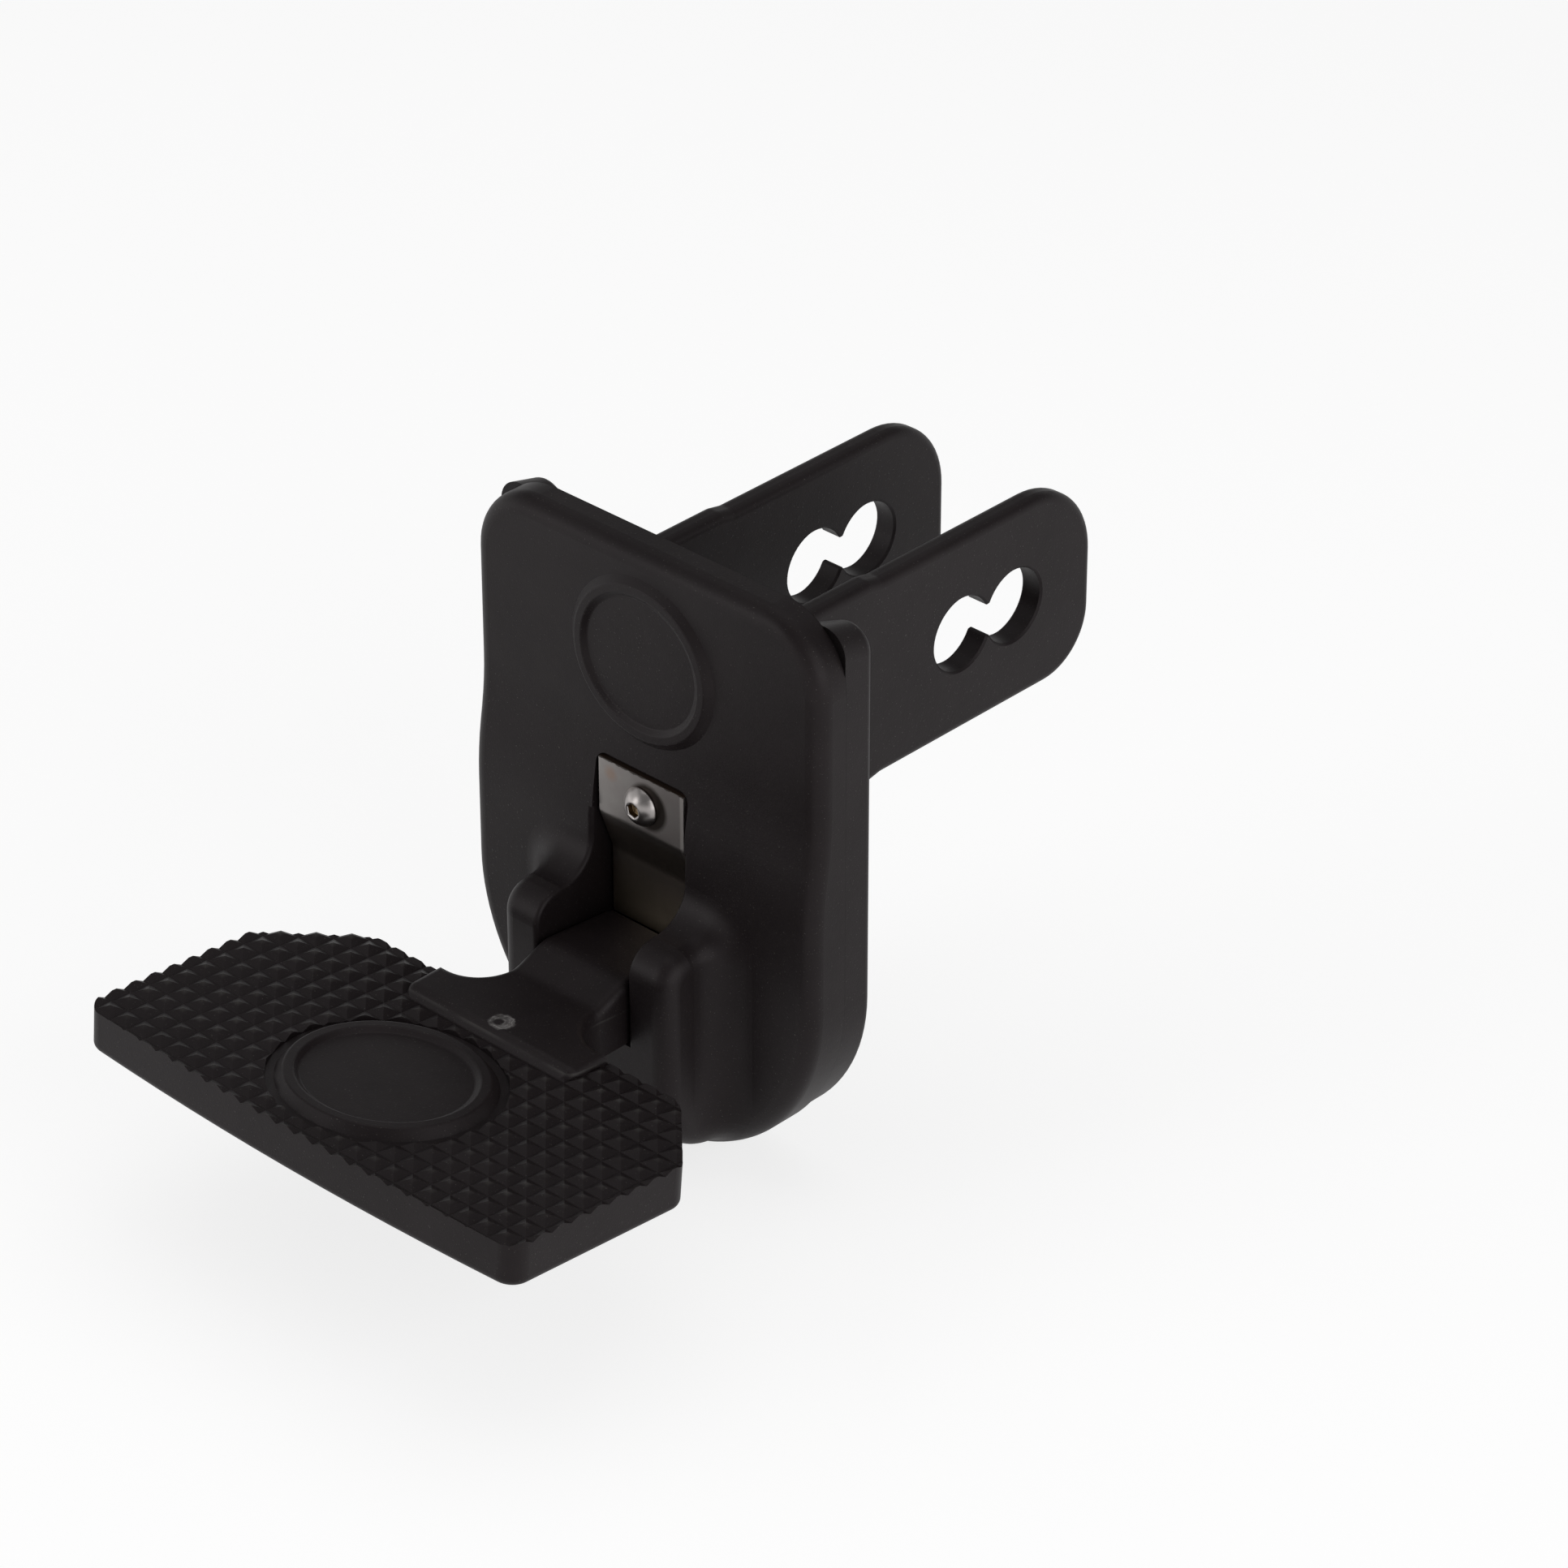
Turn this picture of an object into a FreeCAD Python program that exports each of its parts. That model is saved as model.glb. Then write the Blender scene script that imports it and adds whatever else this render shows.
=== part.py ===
import FreeCAD, Part

import math
import os

# Folding step for a 2 inch towing receiver.
# Millimetres. +Z is up, the tongue points along +Y into the receiver and the tread points along -Y.
# The origin is the middle of the tongue's section, on the rear face of the plate, which is the face
# that meets the mouth of the receiver.

V = FreeCAD.Vector

# Tongue: two flat prongs that slide into the receiver.
tongue_width = 50.8
tongue_height = 49.8
tongue_length = 102.1
prong_thickness = 6.0
prong_top_radius = 20.5
prong_bottom_radius = 15.0
prong_edge_radius = 2.2
root_shoulder_length = 28.0
root_shoulder_rise = 0.8
root_ramp_length = 4.0

# Two overlapping hitch pin holes in each prong.
pin_hole_radius = 9.1
pin_hole_overlap = 0.8
pin_hole_middle = 67.0
pin_hole_edge_chamfer = 0.5
pin_hole_cusp_radius = 0.8

# Witness of the mould's parting plane on the end of each prong.
end_nub_height = 4.0
end_nub_rise = 0.4
end_nub_root = 2.0

# Plate, cast in two mould halves that meet at the parting plane.
plate_width = 104.8
plate_top = 41.7
plate_bottom = 106.0
parting_depth = 9.0
upper_thickness = 17.6
lower_thickness = 20.2
thickening_start = 10.0
thickening_end = 27.0
thickening_blend = 90.0
top_corner_radius = 17.5
bottom_corner_radius = plate_width / 2 - 0.4
plate_front_edge_radius = 4.2
plate_rear_edge_radius = 2.0
rear_half_inset = 0.5
rear_half_top_fall = 0.25
rear_saddle_top = 33.5
rear_saddle_radius = 6.0
rear_ear_width = 17.9
rear_ear_slope = 0.47
rear_ear_radius = 6.0
rear_half_bottom = 101.6
rear_bottom_corner_radius = plate_width / 2 - 7.4

# Hinge: a pin across a slot between two cheeks that stand out of the plate.
hinge_forward = 25.0
hinge_drop = 63.5
hinge_pin_radius = 4.75
hinge_running_clearance = 0.08
hinge_press_clearance = 0.01
hinge_pin_wall = 4.0
hinge_pin_recess = 0.6
hinge_pin_chamfer = 0.8
cheek_front = 38.0
cheek_width = 52.0
cheek_top_drop = 43.4
cheek_top_slope = 0.2
cheek_top_radius = 7.0
cheek_bottom_drop = 98.0
cheek_bottom_radius = 18.0
cheek_bottom_inset = 1.0
cheek_outer_radius = 4.5
cheek_inner_radius = 1.2
cheek_foot_fillet = 9.0
slot_width = 28.2
slot_side_clearance = 0.6

# Leaf spring that holds the step folded or unfolded, and its screw.
spring_width = 26.0
spring_thickness = 1.5
spring_top_drop = 13.5
spring_bend_drop = 27.5
spring_leg_drop = 38.5
spring_bend_radius = 4.0
spring_hub_clearance = 0.5
spring_seat_depth = 0.4
channel_top_drop = 12.6
pocket_top_drop = 26.0
pocket_corner_radius = 3.0
pocket_flex_room = 1.2
screw_drop = 21.3
screw_radius = 2.5
screw_length = 12.0
screw_head_radius = 4.75
screw_head_height = 2.75
screw_head_rim = 0.35
screw_dome_radius = 4.05
screw_dome_height = 1.8
screw_crown_radius = 2.6
screw_shank_overlap = 0.5
screw_socket_across_flats = 3.0
screw_socket_depth = 1.6
screw_socket_turn = 15
screw_hole_clearance = 0.05
spring_hole_clearance = 0.3
screw_hole_extra_depth = 1.5

# Step: hub, neck and tread pad cast in one piece.
step_tilt = 5.24
hub_flat_distance = 9.8
hub_corner_radius = 2.5
hub_swing_clearance = 0.4
hub_blend_start = 12.0
hub_blend_end = 21.0
hub_blend_radius = 9.0
neck_top_above_hinge = 7.4
neck_thickness = 12.4
neck_rest_clearance = 0.3
neck_blend_radius = 10.0
neck_edge_radius = 2.2
plateau_width = 52.0
plateau_front = 41.4
plateau_chamfer = 2.5
plateau_edge_radius = 3.0
plateau_corner_radius = 4.0
plateau_undercut = 4.0
pad_width = 133.2
pad_rear = 31.3
pad_front = 99.8
pad_front_bow = 2.6
pad_end_chamfer = 18.6
pad_rear_corner_radius = 5.0
pad_chamfer_corner_radius = 7.0
pad_front_corner_radius = 5.0
pad_bottom_edge_radius = 2.0
pad_thickness = 11.5
tread_tip_above_hinge = 2.57
tread_pitch = 5.604
tread_depth = 1.3
tread_first_row = 97.2

# Plain oval bosses, one on the plate and one on the tread pad.
boss_width = 39.4
boss_height = 37.4
boss_middle = 14.9
boss_rise = 1.5
boss_side = 1.8
boss_rim = 1.9
boss_recess = 0.9
boss_recess_wall = 1.2
boss_edge_radius = 0.6
boss_sunk = 0.8
pad_boss_width = 47.0
pad_boss_length = 43.0
pad_boss_middle = 72.6
pad_boss_above_tips = 0.9
pad_boss_rim = 2.2
pad_boss_recess = 1.0
pad_clearing_margin = 3.8
pad_clearing_below_roots = 0.15
pad_clearing_height = 5.0
pad_clearing_draft = -1.0

# Places that follow from the sizes above.
pin_hole_spacing = 2 * pin_hole_radius - pin_hole_overlap
prong_outer = tongue_width / 2
prong_inner = prong_outer - prong_thickness
hinge_y = -hinge_forward
hinge_z = -hinge_drop
slot_half = slot_width / 2
hub_half = slot_half - slot_side_clearance
cheek_half = cheek_width / 2
spring_back_y = -(upper_thickness - spring_seat_depth)
spring_front_y = spring_back_y - spring_thickness
leg_front_y = hinge_y + hub_flat_distance + spring_hub_clearance
pocket_rear_y = leg_front_y + spring_thickness + pocket_flex_room
hub_corner_reach = (
    (hub_flat_distance - hub_corner_radius) / math.cos(math.radians(90 - step_tilt) / 2)
    + hub_corner_radius
)
swing_radius = hub_corner_reach + hub_swing_clearance
neck_top_z = hinge_z + neck_top_above_hinge
neck_bottom_z = neck_top_z - neck_thickness
ledge_z = neck_bottom_z - neck_rest_clearance
tread_root = tread_tip_above_hinge - tread_depth
pad_underside = tread_tip_above_hinge - pad_thickness
far = 200.0
# How far one solid or cutter reaches into or past another, and how close counts as touching.
overlap = 1.0
near = 0.01


def at_x(x):
    """Places a (y, z) pair in the plane at this x."""
    return lambda a, b: V(x, a, b)


def at_y(y):
    """Places an (x, z) pair in the plane at this y."""
    return lambda a, b: V(a, y, b)


def at_z(z):
    """Places an (x, y) pair in the plane at this z."""
    return lambda a, b: V(a, b, z)


def rounded_face(corners, place):
    """Closed outline through corners (a, b, radius), each corner an arc tangent to both its sides."""
    count = len(corners)
    arcs = []
    for k in range(count):
        a, b, radius = corners[k]
        before = corners[k - 1]
        after = corners[(k + 1) % count]
        here = V(a, b, 0)
        back = (V(before[0], before[1], 0) - here).normalize()
        ahead = (V(after[0], after[1], 0) - here).normalize()
        if radius == 0:
            arcs.append((here, here, here))
            continue
        half = back.getAngle(ahead) / 2
        reach = radius / math.tan(half)
        middle = (back + ahead).normalize()
        centre = here + middle * (radius / math.sin(half))
        arcs.append((here + back * reach, centre - middle * radius, here + ahead * reach))
    edges = []
    for k in range(count):
        start, crown, end = [place(p.x, p.y) for p in arcs[k]]
        following = place(arcs[(k + 1) % count][0].x, arcs[(k + 1) % count][0].y)
        if corners[k][2] > 0:
            edges.append(Part.Arc(start, crown, end).toShape())
        if (following - end).Length > 1e-6:
            edges.append(Part.LineSegment(end, following).toShape())
    return Part.Face(Part.Wire(edges))


def prism_x(corners, x0, x1):
    """Side outline of (y, z, radius) corners carried along X."""
    return rounded_face(corners, at_x(x0)).extrude(V(x1 - x0, 0, 0))


def prism_y(corners, y0, y1):
    """Front outline of (x, z, radius) corners carried along Y."""
    return rounded_face(corners, at_y(y0)).extrude(V(0, y1 - y0, 0))


def prism_z(corners, z0, z1):
    """Plan outline of (x, y, radius) corners carried along Z."""
    return rounded_face(corners, at_z(z0)).extrude(V(0, 0, z1 - z0))


def cylinder_x(radius, x0, x1, y, z):
    """Round bar along X."""
    return Part.makeCylinder(radius, x1 - x0, V(x0, y, z), V(1, 0, 0))


def cylinder_y(radius, y0, y1, x, z):
    """Round bar along Y."""
    return Part.makeCylinder(radius, y1 - y0, V(x, y0, z), V(0, 1, 0))


def block(x0, x1, y0, y1, z0, z1):
    """Plain box between two corners."""
    return Part.makeBox(x1 - x0, y1 - y0, z1 - z0, V(x0, y0, z0))


def edges_in_plane(shape, axis, value):
    """Edges that lie whole in the plane where this axis has this value."""
    found = []
    for edge in shape.Edges:
        box = edge.BoundBox
        low = (box.XMin, box.YMin, box.ZMin)[axis]
        high = (box.XMax, box.YMax, box.ZMax)[axis]
        if abs(low - value) < near and abs(high - value) < near:
            found.append(edge)
    return found


def normal_on(face, point):
    """Outward normal of a face at a point on it."""
    u, v = face.Surface.parameter(point)
    return face.normalAt(u, v)


def top_rim_edges(shape):
    """Edges where an upright side wall meets a surface that faces upwards."""
    found = []
    for edge in shape.Edges:
        point = edge.valueAt((edge.FirstParameter + edge.LastParameter) / 2)
        normals = [normal_on(face, point) for face in shape.ancestorsOfType(edge, Part.Face)]
        walls = [n for n in normals if abs(n.z) < near and abs(n.x) > 0.05]
        tops = [n for n in normals if n.z > 0.4]
        if walls and tops:
            found.append(edge)
    return found


def ellipse_wire(centre, first, second):
    """Closed ellipse about a centre, with its two half axes given as vectors."""
    if first.Length >= second.Length:
        curve = Part.Ellipse(centre + first, centre + second, centre)
    else:
        curve = Part.Ellipse(centre + second, centre - first, centre)
    return Part.Wire(curve.toShape())


def oval(centre, first, second, rise, draft):
    """Oval block with drafted sides, standing on its first outline."""
    base = ellipse_wire(centre, first, second)
    crown_first = first * ((first.Length - draft) / first.Length)
    crown_second = second * ((second.Length - draft) / second.Length)
    crown = ellipse_wire(centre + rise, crown_first, crown_second)
    return Part.makeLoft([base, crown], True, True)


def dished_oval(width, length, rise, rim, recess):
    """Oval boss with a soft raised rim: a turned dish, drawn out along X. It stands on the plane z = 0."""
    crest = length / 2
    spread = boss_side / rise
    section = [
        (0, -boss_sunk, 0),
        (crest + boss_side + spread * boss_sunk, -boss_sunk, 0),
        (crest, rise, boss_edge_radius),
        (crest - rim, rise, boss_edge_radius),
        (crest - rim - boss_recess_wall, rise - recess, boss_edge_radius),
        (0, rise - recess, 0),
    ]
    dish = rounded_face(section, at_y(0)).revolve(V(0, 0, 0), V(0, 0, 1), 360)
    stretch = FreeCAD.Matrix()
    stretch.scale(width / length, 1, 1)
    return dish.transformGeometry(stretch)


# Bracket, one casting: plate, prongs, cheeks, spring channel and oval boss.

def front_half_outline(inset):
    """Front view of the front mould half: upright sides, round top corners and an almost round foot."""
    half = plate_width / 2 - inset
    top = plate_top - inset
    bottom = -plate_bottom + inset
    return [
        (-half, top, top_corner_radius - inset),
        (half, top, top_corner_radius - inset),
        (half, bottom, bottom_corner_radius - inset),
        (-half, bottom, bottom_corner_radius - inset),
    ]


def plate_front_half():
    """Front mould half: the plate grows thicker below the boss in one soft step."""
    half = plate_width / 2
    body = prism_y(front_half_outline(0), -lower_thickness - overlap, -parting_depth)
    side = [
        (-upper_thickness, far, 0),
        (-upper_thickness, -thickening_start, thickening_blend),
        (-lower_thickness, -thickening_end, thickening_blend),
        (-lower_thickness, -far, 0),
        (far, -far, 0),
        (far, far, 0),
    ]
    body = body.common(prism_x(side, -far, far))
    front_edges = []
    for edge in body.Edges:
        box = edge.BoundBox
        if box.YMax < -upper_thickness + near:
            front_edges.append(edge)
    inner = [e for e in front_edges if is_inner_crossing(e, half)]
    front_edges = [e for e in front_edges if e not in inner]
    return body.makeFillet(plate_front_edge_radius, front_edges)


def is_inner_crossing(edge, half):
    """True for a line that crosses the face from side to side below the top edge."""
    box = edge.BoundBox
    rim = plate_front_edge_radius
    crosses = box.XMax - box.XMin > 2 * half - near
    return crosses and box.ZMax < plate_top - rim and box.ZMin > -plate_bottom + rim


def plate_rear_half():
    """Rear mould half: an ear at each top corner and a saddle between, falling towards the receiver."""
    half = plate_width / 2 - rear_half_inset
    saddle = half - rear_ear_width
    peak = rear_saddle_top + rear_ear_slope * rear_ear_width
    crown = [
        (-half, peak, rear_ear_radius),
        (-saddle, rear_saddle_top, rear_saddle_radius),
        (saddle, rear_saddle_top, rear_saddle_radius),
        (half, peak, rear_ear_radius),
        (half, -far, 0),
        (-half, -far, 0),
    ]
    foot = [
        (-half, peak, 0),
        (half, peak, 0),
        (half, -rear_half_bottom, rear_bottom_corner_radius),
        (-half, -rear_half_bottom, rear_bottom_corner_radius),
    ]
    fall = rear_half_top_fall * parting_depth
    upper = rounded_face(crown, at_y(-parting_depth)).extrude(V(0, parting_depth, -fall))
    body = prism_y(foot, -parting_depth, 0).common(upper)
    return body.makeFillet(plate_rear_edge_radius, edges_in_plane(body, 1, 0))


def prong_outline():
    """Side view of a prong: raised root, straight flanks and a round end."""
    main = tongue_height / 2
    root = main + root_shoulder_rise
    ramp_end = root_shoulder_length + root_ramp_length
    return [
        (-parting_depth, -root, 0),
        (root_shoulder_length, -root, root_ramp_length),
        (ramp_end, -main, root_ramp_length),
        (tongue_length, -main, prong_bottom_radius),
        (tongue_length, main, prong_top_radius),
        (ramp_end, main, root_ramp_length),
        (root_shoulder_length, root, root_ramp_length),
        (-parting_depth, root, 0),
    ]


def prong(x0):
    """One prong with its two overlapping pin holes and soft edges."""
    x1 = x0 + prong_thickness
    body = prism_x(prong_outline(), x0, x1)
    outer = []
    for edge in edges_in_plane(body, 0, x0) + edges_in_plane(body, 0, x1):
        if edge.BoundBox.YMax > -parting_depth + near:
            outer.append(edge)
    body = body.makeFillet(prong_edge_radius, outer)
    for side in (-1, 1):
        centre = pin_hole_middle + side * pin_hole_spacing / 2
        body = body.cut(cylinder_x(pin_hole_radius, x0 - overlap, x1 + overlap, centre, 0))
    cusps = []
    for edge in body.Edges:
        box = edge.BoundBox
        if box.YLength < near and box.ZLength < near and abs(box.YMin - pin_hole_middle) < near:
            cusps.append(edge)
    body = body.makeFillet(pin_hole_cusp_radius, cusps)
    reach = pin_hole_spacing / 2 + pin_hole_radius
    rim = []
    for edge in edges_in_plane(body, 0, x0) + edges_in_plane(body, 0, x1):
        box = edge.BoundBox
        if max(abs(box.YMin - pin_hole_middle), abs(box.YMax - pin_hole_middle)) < reach + near:
            rim.append(edge)
    body = body.makeChamfer(pin_hole_edge_chamfer, rim)
    nub = [
        (tongue_length - end_nub_root, -end_nub_height / 2, 0),
        (tongue_length + end_nub_rise, -end_nub_height / 4, 0),
        (tongue_length + end_nub_rise, end_nub_height / 4, 0),
        (tongue_length - end_nub_root, end_nub_height / 2, 0),
    ]
    return body.fuse(prism_x(nub, x0 + prong_edge_radius, x1 - prong_edge_radius))


def slot_outline():
    """Side view of the slot: the ledge the neck rests on, the hub's swing room and the open top."""
    floor = hinge_z - hub_flat_distance - hub_swing_clearance
    reach = hub_flat_distance + hub_swing_clearance
    ledge_back = hinge_y - math.sqrt(reach**2 - (hinge_z - ledge_z) ** 2)
    swing_low = hinge_y + math.sqrt(swing_radius**2 - (hinge_z - floor) ** 2)
    return floor, ledge_back, swing_low


def slot_cutter():
    """Room between the cheeks, open to the front and upwards, down to the neck's ledge."""
    floor, ledge_back, swing_low = slot_outline()
    front = -cheek_front - cheek_top_radius
    edges = []
    points = [
        V(-slot_half, front, far),
        V(-slot_half, front, ledge_z),
        V(-slot_half, ledge_back, ledge_z),
    ]
    edges.append(Part.LineSegment(points[0], points[1]).toShape())
    edges.append(Part.LineSegment(points[1], points[2]).toShape())
    reach = hub_flat_distance + hub_swing_clearance
    lowest = V(-slot_half, hinge_y, hinge_z - reach)
    start_angle = math.atan2(ledge_z - hinge_z, ledge_back - hinge_y)
    middle_angle = (start_angle - math.pi / 2) / 2
    crown = V(
        -slot_half,
        hinge_y + reach * math.cos(middle_angle),
        hinge_z + reach * math.sin(middle_angle),
    )
    edges.append(Part.Arc(points[2], crown, lowest).toShape())
    turn = V(-slot_half, swing_low, floor)
    edges.append(Part.LineSegment(lowest, turn).toShape())
    rear = V(-slot_half, hinge_y + swing_radius, hinge_z)
    turn_angle = math.atan2(floor - hinge_z, swing_low - hinge_y) / 2
    bulge = V(
        -slot_half,
        hinge_y + swing_radius * math.cos(turn_angle),
        hinge_z + swing_radius * math.sin(turn_angle),
    )
    edges.append(Part.Arc(turn, bulge, rear).toShape())
    top_rear = V(-slot_half, rear.y, far)
    edges.append(Part.LineSegment(rear, top_rear).toShape())
    edges.append(Part.LineSegment(top_rear, points[0]).toShape())
    return Part.Face(Part.Wire(edges)).extrude(V(slot_width, 0, 0))


def cheek_block():
    """The block that carries the hinge: level at the plate, then falling to its round front."""
    back = -parting_depth - overlap
    level_end = -lower_thickness - cheek_foot_fillet - overlap
    top_front = -cheek_top_drop - cheek_top_slope * (cheek_front + level_end)
    side = [
        (back, -cheek_top_drop, 0),
        (back, -cheek_bottom_drop, 0),
        (-cheek_front, -cheek_bottom_drop, cheek_bottom_radius),
        (-cheek_front, top_front, cheek_top_radius),
        (level_end, -cheek_top_drop, 0),
    ]
    body = prism_x(side, -cheek_half, cheek_half)
    outer = []
    for edge in edges_in_plane(body, 0, -cheek_half) + edges_in_plane(body, 0, cheek_half):
        if edge.BoundBox.YMin < back - near:
            outer.append(edge)
    body = body.makeFillet(cheek_outer_radius, outer)
    return body.common(prism_y(front_half_outline(cheek_bottom_inset), -far, 0))


def front_with_cheeks():
    """Front mould half with the cheeks: a concave fillet round their foot, and the slot between them."""
    body = plate_front_half().fuse(cheek_block()).removeSplitter()
    foot = []
    for edge in edges_in_plane(body, 1, -lower_thickness):
        box = edge.BoundBox
        on_cheek = max(abs(box.XMin), abs(box.XMax)) < cheek_half + overlap
        if on_cheek and box.ZMax > hinge_z:
            foot.append(edge)
    body = body.makeFillet(cheek_foot_fillet, foot)
    above = block(-far, far, -far, far, -pocket_top_drop - overlap, far)
    body = body.cut(slot_cutter().cut(above))
    inner = []
    for edge in edges_in_plane(body, 0, -slot_half) + edges_in_plane(body, 0, slot_half):
        box = edge.BoundBox
        on_front = box.YMax < -cheek_front + near
        on_top = box.ZMin > hinge_z + hub_flat_distance and box.YMax < -lower_thickness + near
        if on_front or on_top:
            inner.append(edge)
    return body.makeFillet(cheek_inner_radius, inner)


def spring_channel():
    """Shallow seat of the spring's upper end, with the deep pocket its leg moves in below it."""
    half = slot_half
    seat = prism_y(
        [
            (-half, -channel_top_drop, pocket_corner_radius),
            (half, -channel_top_drop, pocket_corner_radius),
            (half, -pocket_top_drop - pocket_corner_radius, 0),
            (-half, -pocket_top_drop - pocket_corner_radius, 0),
        ],
        -cheek_front,
        spring_back_y,
    )
    pocket = block(-half, half, -cheek_front, pocket_rear_y, hinge_z, -pocket_top_drop)
    return seat.fuse(pocket)


def hitch_bracket():
    """The whole bracket casting."""
    body = plate_rear_half()
    for x0 in (-prong_outer, prong_inner):
        body = body.fuse(prong(x0))
    body = body.fuse(front_with_cheeks())
    boss = dished_oval(boss_width, boss_height, boss_rise, boss_rim, boss_recess)
    boss.rotate(V(0, 0, 0), V(1, 0, 0), 90)
    boss.translate(V(0, -upper_thickness, boss_middle))
    body = body.fuse(boss)
    body = body.cut(spring_channel())
    press = hinge_pin_radius + hinge_press_clearance
    body = body.cut(cylinder_x(press, -far, cheek_half - hinge_pin_wall, hinge_y, hinge_z))
    depth = spring_front_y + screw_length + screw_hole_extra_depth
    hole = cylinder_y(screw_radius + screw_hole_clearance, -far, depth, 0, -screw_drop)
    return body.cut(hole).removeSplitter()


# Step, one casting: hub, neck and tread pad.

def pad_slab():
    """Tread pad in its own frame: hinge axis on X at the origin, pad towards -Y, top upwards."""
    half = pad_width / 2
    front = -pad_front
    rear = -pad_rear
    chamfer = pad_end_chamfer
    plan = [
        (-half, rear - chamfer, pad_rear_corner_radius),
        (-half + chamfer, rear, pad_chamfer_corner_radius),
        (half - chamfer, rear, pad_chamfer_corner_radius),
        (half, rear - chamfer, pad_rear_corner_radius),
        (half, front - 2 * pad_front_bow, 0),
        (-half, front - 2 * pad_front_bow, 0),
    ]
    body = prism_z(plan, pad_underside, tread_tip_above_hinge)
    bow_radius = half**2 / (2 * pad_front_bow) + pad_front_bow / 2
    bow_middle = V(0, front - pad_front_bow + bow_radius, pad_underside)
    bow = Part.makeCylinder(bow_radius, pad_thickness, bow_middle)
    body = body.common(bow)
    upright = []
    for edge in body.Edges:
        box = edge.BoundBox
        standing = box.ZMax - box.ZMin > pad_thickness - near
        if standing and box.YMax < front + 1:
            upright.append(edge)
    body = body.makeFillet(pad_front_corner_radius, upright)
    return body.makeFillet(pad_bottom_edge_radius, edges_in_plane(body, 2, pad_underside))


def ridge_profile(first, last, start):
    """Zigzag of ridges one pitch apart, with a ridge at start, as (distance, height) points."""
    low = math.floor((first - start) / tread_pitch)
    high = math.ceil((last - start) / tread_pitch)
    points = []
    for k in range(low, high + 1):
        tip = start + k * tread_pitch
        points.append((tip, tread_tip_above_hinge))
        points.append((tip + tread_pitch / 2, tread_root))
    return points


def ridged_slab(points, place, run):
    """Slab whose top is the zigzag, carried straight along run."""
    base = pad_underside - 1
    outline = [place(a, b) for a, b in points]
    outline = [place(points[0][0], base)] + outline + [place(points[-1][0], base)]
    return Part.Face(Part.makePolygon(outline + [outline[0]])).extrude(run)


def tread():
    """Field of square pyramids: ridges across the pad crossed with ridges along it."""
    half = pad_width / 2 + tread_pitch
    rear = -pad_rear + tread_pitch
    front = -pad_front - pad_front_bow - tread_pitch
    across = ridge_profile(-half, half, 0)
    along = ridge_profile(front, rear, -tread_first_row)
    start_y = along[0][0]
    start_x = across[0][0]
    ribs_y = ridged_slab(across, at_y(start_y), V(0, along[-1][0] - start_y, 0))
    ribs_x = ridged_slab(along, at_x(start_x), V(across[-1][0] - start_x, 0, 0))
    return ribs_y.common(ribs_x)


def tread_pad():
    """Pad with its tread, the smooth oval round the boss and the boss."""
    body = pad_slab().common(tread())
    floor = tread_root - pad_clearing_below_roots
    centre = V(0, -pad_boss_middle, floor)
    wide = V(pad_boss_width / 2, 0, 0)
    long = V(0, pad_boss_length / 2, 0)
    margin = pad_clearing_margin
    clearing = oval(
        centre,
        wide * (1 + margin / wide.Length),
        long * (1 + margin / long.Length),
        V(0, 0, pad_clearing_height),
        pad_clearing_draft,
    )
    body = body.cut(clearing)
    rise = tread_tip_above_hinge + pad_boss_above_tips - floor
    boss = dished_oval(pad_boss_width, pad_boss_length, rise, pad_boss_rim, pad_boss_recess)
    boss.translate(centre)
    return body.fuse(boss)


def neck():
    """Neck and hub: plan view with its two concave flanks, crossed with the side view."""
    half = plateau_width / 2
    rear_edge = hinge_y - pad_rear * math.cos(math.radians(step_tilt))
    front_y = hinge_y - plateau_front
    plan = [
        (-half, front_y - plateau_chamfer, plateau_corner_radius),
        (half, front_y - plateau_chamfer, plateau_corner_radius),
        (half, rear_edge, 0),
        (hub_half, rear_edge, neck_blend_radius),
        (hub_half, 0, 0),
        (-hub_half, 0, 0),
        (-hub_half, rear_edge, neck_blend_radius),
        (-half, rear_edge, 0),
    ]
    body = prism_z(plan, -far, far)
    tilt = math.radians(step_tilt)
    flat_y = hinge_y + hub_flat_distance * math.sin(tilt)
    flat_z = hinge_z + hub_flat_distance * math.cos(tilt)
    slope = math.tan(tilt)
    rear_y = hinge_y + hub_flat_distance
    rise_foot = hinge_y - hub_blend_end
    rise_head = hinge_y - hub_blend_start
    rear_top = flat_z - (rear_y - flat_y) * slope
    rise_top = flat_z - (rise_head - flat_y) * slope
    side = [
        (front_y - plateau_chamfer, neck_top_z - plateau_chamfer, 0),
        (front_y, neck_top_z, plateau_edge_radius),
        (rise_foot, neck_top_z, hub_blend_radius),
        (rise_head, rise_top, hub_blend_radius),
        (rear_y, rear_top, hub_corner_radius),
        (rear_y, hinge_z, 0),
        (hinge_y, hinge_z, 0),
        (hinge_y, neck_bottom_z, 0),
        (rear_edge, neck_bottom_z, 0),
        (front_y - plateau_chamfer, neck_bottom_z + plateau_undercut, 0),
    ]
    body = body.common(prism_x(side, -half, half))
    body = body.makeFillet(neck_edge_radius, top_rim_edges(body))
    round_hub = cylinder_x(hub_flat_distance, -hub_half, hub_half, hinge_y, hinge_z)
    return body.fuse(round_hub.common(block(-far, far, -far, far, -far, hinge_z)))


def step_pad():
    """The whole step casting, set at its tilt on the hinge."""
    pad = tread_pad()
    pad.rotate(V(0, 0, 0), V(1, 0, 0), -step_tilt)
    pad.translate(V(0, hinge_y, hinge_z))
    body = pad.fuse(neck())
    running = hinge_pin_radius + hinge_running_clearance
    return body.cut(cylinder_x(running, -far, far, hinge_y, hinge_z)).removeSplitter()


# Leaf spring, its screw and the hinge pin.

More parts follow.
